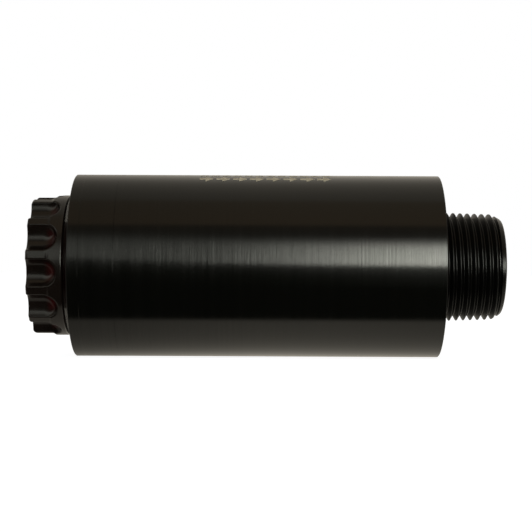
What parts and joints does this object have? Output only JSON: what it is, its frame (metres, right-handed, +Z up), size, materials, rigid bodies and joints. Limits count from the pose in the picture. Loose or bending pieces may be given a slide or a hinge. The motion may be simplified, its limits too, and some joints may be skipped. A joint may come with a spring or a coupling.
{
  "type": "magnetic system filter",
  "caption": "In-line magnetic water filter with a turned black barrel, a scalloped swivel inlet nut and a male taper-threaded outlet spigot.",
  "frame": {"origin": "on the flow axis, halfway along the overall length", "axes": "+X along the flow, from the swivel inlet nut to the threaded outlet; +Z up, with the printed marks on the upper front side"},
  "size_m": [0.1446, 0.0562, 0.0562],
  "materials": {
    "barrel_black": "satin black, fine-turned on a lathe",
    "nut_black": "moulded black nylon, semi-gloss",
    "neck_black": "moulded black nylon, satin",
    "white_polymer": "natural acetal, satin",
    "rubber": "moulded EPDM, dull",
    "stainless": "austenitic stainless steel, fine brushed",
    "spring_steel": "stainless spring steel, bright rolled",
    "magnet_plating": "nickel plated, bright",
    "pole_steel": "ground mild steel",
    "pale_ink": "pale pad-printed ink, matt"
  },
  "bodies": {
    "body": {"housing": "barrel_black", "inlet_cap": "barrel_black", "inlet_tailpiece": "neck_black", "sealing_washer": "rubber", "cap_o_ring": "rubber", "tailpiece_o_ring": "rubber", "strainer_screen": "stainless", "tailpiece_circlip": "spring_steel", "disc_spring": "spring_steel", "stack_spring": "spring_steel", "inlet_spider": "white_polymer", "outlet_spider": "white_polymer", "core_sleeve": "stainless", "core_nose_plug": "stainless", "core_tail_plug": "stainless", "nose_nut": "stainless", "flow_marking": "pale_ink", "edge_marking": "pale_ink", "magnet_1": "magnet_plating", "magnet_2": "magnet_plating", "magnet_3": "magnet_plating", "magnet_4": "magnet_plating", "magnet_5": "magnet_plating", "magnet_6": "magnet_plating", "pole_plate_1": "pole_steel", "pole_plate_2": "pole_steel", "pole_plate_3": "pole_steel", "pole_plate_4": "pole_steel", "pole_plate_5": "pole_steel"},
    "slip": {"slip_ring": "white_polymer"},
    "nut": {"swivel_nut": "nut_black"}
  },
  "joints": [
    {"name": "nut_float", "type": "slide", "parent": "body", "child": "slip", "axis": [1, 0, 0], "range_m": [0, 0.0016]},
    {"name": "nut_swivel", "type": "hinge", "parent": "slip", "child": "nut", "pos_m": [-0.06585, 0, 0], "axis": [1, 0, 0], "continuous": true}
  ]
}
